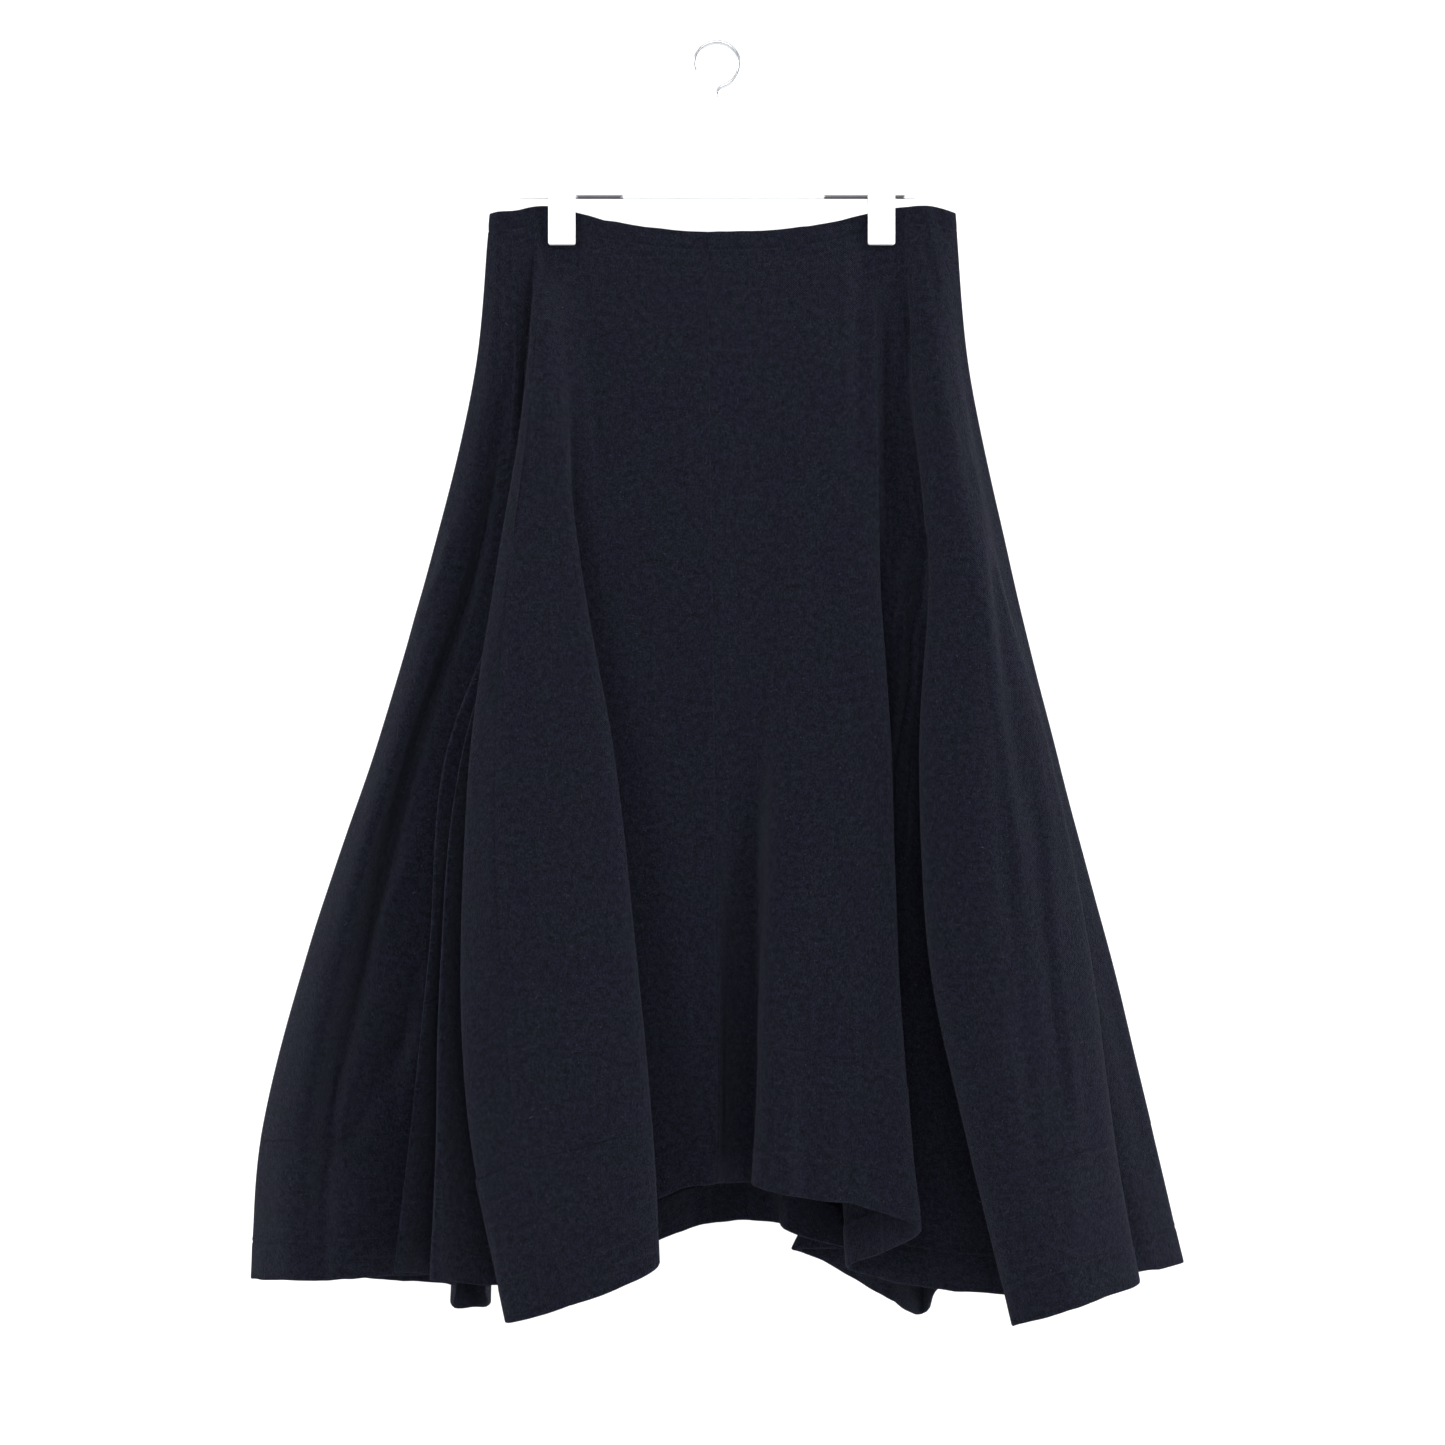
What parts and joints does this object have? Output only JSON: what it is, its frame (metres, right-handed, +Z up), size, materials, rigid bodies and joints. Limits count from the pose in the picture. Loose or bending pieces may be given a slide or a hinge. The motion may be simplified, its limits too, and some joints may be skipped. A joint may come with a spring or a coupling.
{
  "type": "flared skirt on a clip hanger",
  "caption": "Long flared wool skirt with deep hanging folds and a dipping hem band, held by its waist in the clips of a plain bar hanger with a round hook.",
  "frame": {"origin": "inside top of the hook's crown, where the rail carries the hanger", "axes": "+Z up, front of the skirt towards -Y, +X to the viewer's right"},
  "size_m": [0.7234, 0.1268, 0.9919],
  "materials": {
    "wool": "fulled, slightly hairy, matt, very dark navy",
    "white_lacquer": "satin white",
    "bright_steel": "bright, smooth",
    "coated_wire": "white coating, worn to grey steel beside the clips",
    "white_plastic": "smooth white"
  },
  "bodies": {
    "root": {"front_left": "wool", "front_right": "wool", "side_left": "wool", "side_right": "wool", "back_left": "wool", "back_right": "wool", "band_front_left": "wool", "band_front_right": "wool", "band_side_left": "wool", "band_side_right": "wool", "band_back_left": "wool", "band_back_right": "wool", "hanger_bar": "white_lacquer", "hanger_hook": "bright_steel", "hanger_wire": "coated_wire", "clip_left_front_jaw": "white_plastic", "clip_left_back_jaw": "white_plastic", "clip_left_sleeve": "white_plastic", "clip_right_front_jaw": "white_plastic", "clip_right_back_jaw": "white_plastic", "clip_right_sleeve": "white_plastic"}
  },
  "joints": []
}
